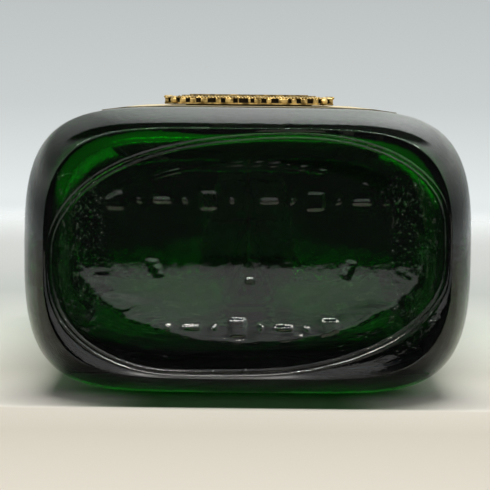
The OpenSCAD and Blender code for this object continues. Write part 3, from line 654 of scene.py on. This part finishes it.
rows = []
for j in range(91):
    along = j / 90
    y = base_y / mm + 21 + 118 * along
    xs = [-40 + 80 * i / 60 for i in range(61)]
    rows.append([(x, y, sea_floor(x) + 0.3) for x in xs]
                + [(x, y, sea_top(x, y, along)) for x in reversed(xs)])
mesh = bmesh.new()
skin(mesh, rows)
sea_paint, tree, face, colour = coat("sea_putty", rgb(16, 56, 78), rgb(38, 98, 112), 120, 0.35, 0.0004,
                                     stretch=(1, 1.6, 1))
x, y, z = place_in(tree)
flecks = node_in(tree, "ShaderNodeTexNoise",
                 [("Vector", node_in(tree, "ShaderNodeTexCoord").outputs["Object"]), ("Scale", 420.0),
                  ("Detail", 5.0)]).outputs[0]
crest = calc(tree, "MULTIPLY", rise(tree, z, 0.01115, 0.01165), rise(tree, flecks, 0.42, 0.58))
alongside = calc(tree, "MULTIPLY", rise(tree, calc(tree, "ABSOLUTE", x), 0.0095, 0.0065),
                 rise(tree, calc(tree, "ABSOLUTE", calc(tree, "SUBTRACT", y, (hull_y + 34) * mm)),
                      0.043, 0.036))
foam = calc(tree, "MAXIMUM", crest, calc(tree, "MULTIPLY", alongside, rise(tree, flecks, 0.46, 0.56)))
tree.links.new(blended(tree, foam, colour, rgb(226, 232, 226)), face.inputs["Base Color"])
finished(mesh, "putty_sea", "sea_putty", ["sea"], sea_paint)

# ---- Hull ----
# Carved from one block with a round bilge and a rising sheer. It is black, with a pale band and square ports,
# and copper red below the water.
def deck_z(u):
    return sea_z + 4.2 + 1.6 * (2 * u - 0.85) ** 2


def half_at_deck(u):
    return beam / 2 * (max(0.05, 1 - ((u - 0.45) / 0.55) ** 2.8) if u > 0.45
                       else 1 - 0.36 * ((0.45 - u) / 0.45) ** 2)


def half_at_water(u):
    return beam / 2 * (max(0.03, 0.94 - ((u - 0.42) / 0.56) ** 2.1) if u > 0.42
                       else 0.94 - 0.72 * ((0.42 - u) / 0.42) ** 2.2)


rows = []
for k in range(61):
    u = k / 60
    wide, low, top = half_at_deck(u), half_at_water(u), deck_z(u)
    belly = 2 * (low + (wide - low) * 0.78) - (wide + low) / 2
    side = [(low * (1 - v) ** 2 + 2 * belly * v * (1 - v) + wide * v * v, hull_z + (top - hull_z) * v)
            for v in (n / 10 for n in range(11))]
    rows.append([(px, hull_y + hull_length * u, pz) for px, pz in side]
                + [(-px, hull_y + hull_length * u, pz) for px, pz in reversed(side)])
mesh = bmesh.new()
skin(mesh, rows)
hull_paint, tree, face, colour = coat("hull_paint", rgb(20, 19, 20), rgb(40, 36, 34), 500, 0.4)
x, y, z = place_in(tree)
share = calc(tree, "MULTIPLY_ADD", y, 2 / (hull_length * mm), -2 * hull_y / hull_length - 0.85)
sheer = calc(tree, "MULTIPLY_ADD", calc(tree, "MULTIPLY", share, share), 1.6 * mm, (sea_z + 4.2) * mm)
under_deck = calc(tree, "SUBTRACT", sheer, z)
strake = calc(tree, "MULTIPLY", rise(tree, under_deck, 0.00095, 0.00105),
              rise(tree, under_deck, 0.00245, 0.00235))
port = calc(tree, "MULTIPLY", rise(tree, calc(tree, "PINGPONG", y, 0.0017), 0.00125, 0.00133),
            calc(tree, "MULTIPLY", rise(tree, under_deck, 0.00122, 0.0013),
                 rise(tree, under_deck, 0.0022, 0.00212)))
colour = blended(tree, strake, colour, rgb(214, 204, 176))
colour = blended(tree, port, colour, rgb(24, 20, 18))
colour = blended(tree, rise(tree, under_deck, 0.00028, 0.0002), colour, rgb(168, 128, 62))
colour = blended(tree, rise(tree, z, 0.0118, 0.01165), colour, rgb(112, 44, 28))
tree.links.new(colour, face.inputs["Base Color"])
finished(mesh, "carved_hull", "hull_paint", ["hull"], hull_paint)

# ---- Decks, houses and fittings ----
# Pale planked decks, white-painted bulwarks, house and boats, and dark stained fittings.
planks, tree, face, colour = coat("pale_deck", rgb(176, 140, 92), rgb(206, 172, 122), 600, 0.6,
                                  stretch=(1, 0.1, 1))
x, y, z = place_in(tree)
joint = rise(tree, calc(tree, "PINGPONG", x, 0.0004), 0.00006, 0.00002)
plank = calc(tree, "FLOOR", calc(tree, "DIVIDE", x, 0.0008))
staggered = calc(tree, "ADD", y, calc(tree, "MULTIPLY", plank, 0.0037))
butts = rise(tree, calc(tree, "PINGPONG", staggered, 0.005), 0.00006, 0.00002)
tree.links.new(blended(tree, calc(tree, "MAXIMUM", joint, butts), colour, rgb(66, 46, 30)),
               face.inputs["Base Color"])
dress(planks, "deck", "poop", "forecastle")

white_paint, tree, face, colour = coat("white_paint", rgb(206, 200, 182), rgb(232, 228, 214), 500, 0.45)
dress(white_paint, "bulwarks", "lifeboats")
house_paint, tree, face, colour = coat("house_paint", rgb(208, 202, 184), rgb(232, 228, 214), 500, 0.45)
x, y, z = place_in(tree)
house_low, house_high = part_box("deckhouse")
panes = calc(tree, "MULTIPLY",
             rise(tree, calc(tree, "PINGPONG", calc(tree, "SUBTRACT", y, house_low.y), 0.001),
                  0.0006, 0.00066),
             calc(tree, "MULTIPLY", rise(tree, z, house_low.z + 0.0008, house_low.z + 0.00086),
                  rise(tree, z, house_high.z - 0.0004, house_high.z - 0.00046)))
tree.links.new(blended(tree, panes, colour, rgb(36, 44, 52)), face.inputs["Base Color"])
dress(house_paint, "deckhouse")
fittings, tree, face, colour = coat("dark_fittings", rgb(62, 34, 18), rgb(104, 62, 34), 500, 0.45,
                                    stretch=(1, 0.15, 1))
dress(fittings, "deckhouse_roof", "hatch_covers", "helm", "channels", "rudder", "mast_tops")

# ---- Spars ----
# Straight-grained pale masts and bowsprit, darker oiled yards and booms, and brass wire hinge pins at the
# masts' feet.
mast_wood, tree, face, colour = coat("spar_wood", rgb(150, 104, 56), rgb(196, 150, 94), 900, 0.45,
                                     stretch=(1, 1, 0.06))
dress(mast_wood, "mizzen_mast", "main_mast", "fore_mast")
sprit_wood, tree, face, colour = coat("sprit_wood", rgb(140, 96, 52), rgb(188, 140, 86), 900, 0.45,
                                      stretch=(1, 0.06, 1))
dress(sprit_wood, "bowsprit", "jib_boom")
yard_wood, tree, face, colour = coat("yard_wood", rgb(92, 56, 28), rgb(140, 94, 52), 900, 0.45,
                                     stretch=(0.06, 1, 1))
dress(yard_wood, *(f"{m}_{level}_yard" for m in ("mizzen", "main", "fore")
                   for level in ("lower", "topsail", "topgallant")))
boom_wood, tree, face, colour = coat("boom_wood", rgb(92, 56, 28), rgb(140, 94, 52), 900, 0.45,
                                     stretch=(1, 0.06, 1))
dress(boom_wood, "gaff", "spanker_boom")
brass, tree, face, colour = coat("hinge_wire", rgb(150, 112, 50), rgb(206, 168, 92), 900, 0.35, metallic=1.0)
dress(brass, "mast_hinge_pins")

# ---- Sails ----
# Thin tea-stained cotton, stiffened with glue so that it stays full, with its cloths' seams and reef bands
# drawn in pencil.
canvas, tree, face, colour = coat("sailcloth", rgb(206, 192, 154), rgb(232, 222, 190), 700, 0.85, 0.00004)
weave = node_in(tree, "ShaderNodeSeparateXYZ",
                [(0, node_in(tree, "ShaderNodeTexCoord").outputs["UV"])]).outputs
seam = rise(tree, calc(tree, "PINGPONG", weave[0], 0.0625), 0.007, 0.003)
reef = rise(tree, calc(tree, "ABSOLUTE", calc(tree, "SUBTRACT", weave[1], 0.76)), 0.016, 0.008)
hem = calc(tree, "MAXIMUM",
           rise(tree, calc(tree, "ABSOLUTE", calc(tree, "SUBTRACT", weave[0], 0.5)), 0.475, 0.485),
           rise(tree, calc(tree, "ABSOLUTE", calc(tree, "SUBTRACT", weave[1], 0.5)), 0.465, 0.48))
drawn = calc(tree, "MULTIPLY", calc(tree, "MAXIMUM", calc(tree, "MAXIMUM", seam, reef), hem), 0.55)
tree.links.new(blended(tree, drawn, colour, rgb(142, 118, 78)), face.inputs["Base Color"])
face.inputs["Subsurface Weight"].default_value = 0.15
face.inputs["Subsurface Radius"].default_value = (0.0004, 0.0003, 0.0002)


def cloth(name, node, place, across, down):
    """A sail through place(u, v), in millimetres, with v from 0 at its head. Its width and height are measured
    on it, the width no more than twice its area over its height, but nothing uses them. No wider than twice
    its area over its height, and only from 10 mm up."""
    mesh = bmesh.new()
    bmesh.ops.create_grid(mesh, x_segments=across, y_segments=down, size=1, calc_uvs=True)
    columns = {}
    for v in mesh.verts:
        i, j = round((v.co.x + 1) / 2 * across), round((1 - v.co.y) / 2 * down)
        columns[i, j] = v.co = Vector(place(i / across, j / down)) * mm
    wide = max(sum(math.dist(columns[i, j], columns[i + 1, j]) for i in range(across))
               for j in range(down + 1))
    tall = max(sum(math.dist(columns[i, j], columns[i, j + 1]) for j in range(down))
               for i in range(across + 1))
    bmesh.ops.remove_doubles(mesh, verts=mesh.verts, dist=0.01 * mm)
    area = sum(part.calc_area() for part in mesh.faces)
    # This limit changes only the jibs' widths.
    wide = min(wide, 2 * area / tall)
    for part in mesh.faces:
        part.smooth = True
    sail = bpy.data.objects.new(name, bpy.data.meshes.new(name))
    mesh.to_mesh(sail.data)
    mesh.free()
    sail.data.materials.append(canvas)
    bpy.context.scene.collection.objects.link(sail)
    thickness = sail.modifiers.new("thickness", "SOLIDIFY")
    thickness.thickness, thickness.offset = 0.16 * mm, 0
    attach(sail, "bottle")
    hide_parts(node)


def square_sail(mast, level, foot, foot_half, belly, node):
    yard_low, yard_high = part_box(f"{mast}_{level}_yard")
    head_z, head_y = yard_low.z / mm - 0.05, (yard_low.y + yard_high.y) / 2 / mm + 0.1
    head_half = yard_high.x / mm * 0.9

    def place(u, v):
        full = 1 - (2 * u - 1) ** 2
        half = (head_half + (foot_half - head_half) * v) * (1 - 0.035 * math.sin(math.pi * v))
        crease = 0.06 * math.sin(math.tau * 8 * u) * (1 - v) * full
        return (half * (2 * u - 1), head_y + belly * full * math.sin(math.radians(135) * v) + crease,
                head_z + (foot - head_z) * v + 0.7 * full * v * v)

    cloth(f"{node}_cloth", node, place, 32, 20)


halves = {"mizzen": (11, 9.4, 7.4), "main": (14.5, 12.2, 9.6), "fore": (13.5, 11.4, 9)}
levels = ("lower", "topsail", "topgallant")
for mast in ("mizzen", "main", "fore"):
    if mast != "mizzen":
        square_sail(mast, "lower", 19.2, halves[mast][0] * 0.86, 3.2, f"{mast}_course")
    for k in (1, 2):
        lower_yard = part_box(f"{mast}_{levels[k - 1]}_yard")[1].z / mm
        square_sail(mast, levels[k], lower_yard + 0.15, halves[mast][k - 1] * 0.86, 3, f"{mast}_{levels[k]}")


def plane_sail(node, corners, lean):
    """A sail in the ship's middle plane through four (y, z) corners: head fore and aft, then foot aft and
    fore."""
    (a, b, c, d) = corners

    def place(u, v):
        top = (a[0] + (b[0] - a[0]) * u, a[1] + (b[1] - a[1]) * u)
        low = (d[0] + (c[0] - d[0]) * u, d[1] + (c[1] - d[1]) * u)
        return (lean * math.sin(math.pi * u) * math.sin(math.pi * v ** 0.8), top[0] + (low[0] - top[0]) * v,
                top[1] + (low[1] - top[1]) * v)

    cloth(f"{node}_cloth", node, place, 20, 20)


mizzen_y = hull_y + hull_length * 0.2
plane_sail("spanker", [(mizzen_y - 1.4, 30.8), (mizzen_y - 12, 35.2), (mizzen_y - 15.4, 22),
                       (mizzen_y - 1.4, 21.3)], 0.9)
# The jibs are faulty: clew comes out as the head again, so each is only a narrow strip along its stay.
for jib in ("inner_jib", "outer_jib", "flying_jib"):
    points = [(v.co.y / mm, v.co.z / mm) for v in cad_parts[jib].data.vertices]
    head, tack = max(points, key=lambda p: p[1]), max(points)
    clew = min(points, key=lambda p: p[0] + 0.2 * p[1])
    plane_sail(jib, [head, head, clew, tack], 0.7)

# ---- Rigging and ensign ----
# Tarred thread with a diagonal lay in its colour, and a small red ensign of painted paper, set with a ripple.
thread, tree, face, colour = coat("rig_thread", rgb(38, 30, 22), rgb(74, 60, 44), 2500, 0.8, 0.00003)
twist = node_in(tree, "ShaderNodeTexWave",
                [("Vector", node_in(tree, "ShaderNodeTexCoord").outputs["Object"]), ("Scale", 900.0)],
                bands_direction="DIAGONAL")
tree.links.new(blended(tree, twist.outputs["Fac"], colour, rgb(24, 18, 13)), face.inputs["Base Color"])
dress(thread, "stays", "shrouds", "backstays", "bobstays")

flag_low, flag_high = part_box("ensign")
mesh = bmesh.new()
bmesh.ops.create_grid(mesh, x_segments=24, y_segments=12, size=1, calc_uvs=True)
for v in mesh.verts:
    u, w = (v.co.x + 1) / 2, (v.co.y + 1) / 2
    v.co = (0.35 * mm * math.sin(7 * u) * (1 - u), flag_low.y + (flag_high.y - flag_low.y) * u,
            flag_low.z + (flag_high.z - flag_low.z) * w - 0.3 * mm * (1 - u) ** 2)
red, tree, face, colour = coat("flag_paper", rgb(132, 24, 22), rgb(168, 38, 32), 600, 0.7)
ensign = finished(mesh, "painted_ensign", "flag_paper", ["ensign"], red)
thickness = ensign.modifiers.new("thickness", "SOLIDIFY")
thickness.thickness, thickness.offset = 0.14 * mm, 0
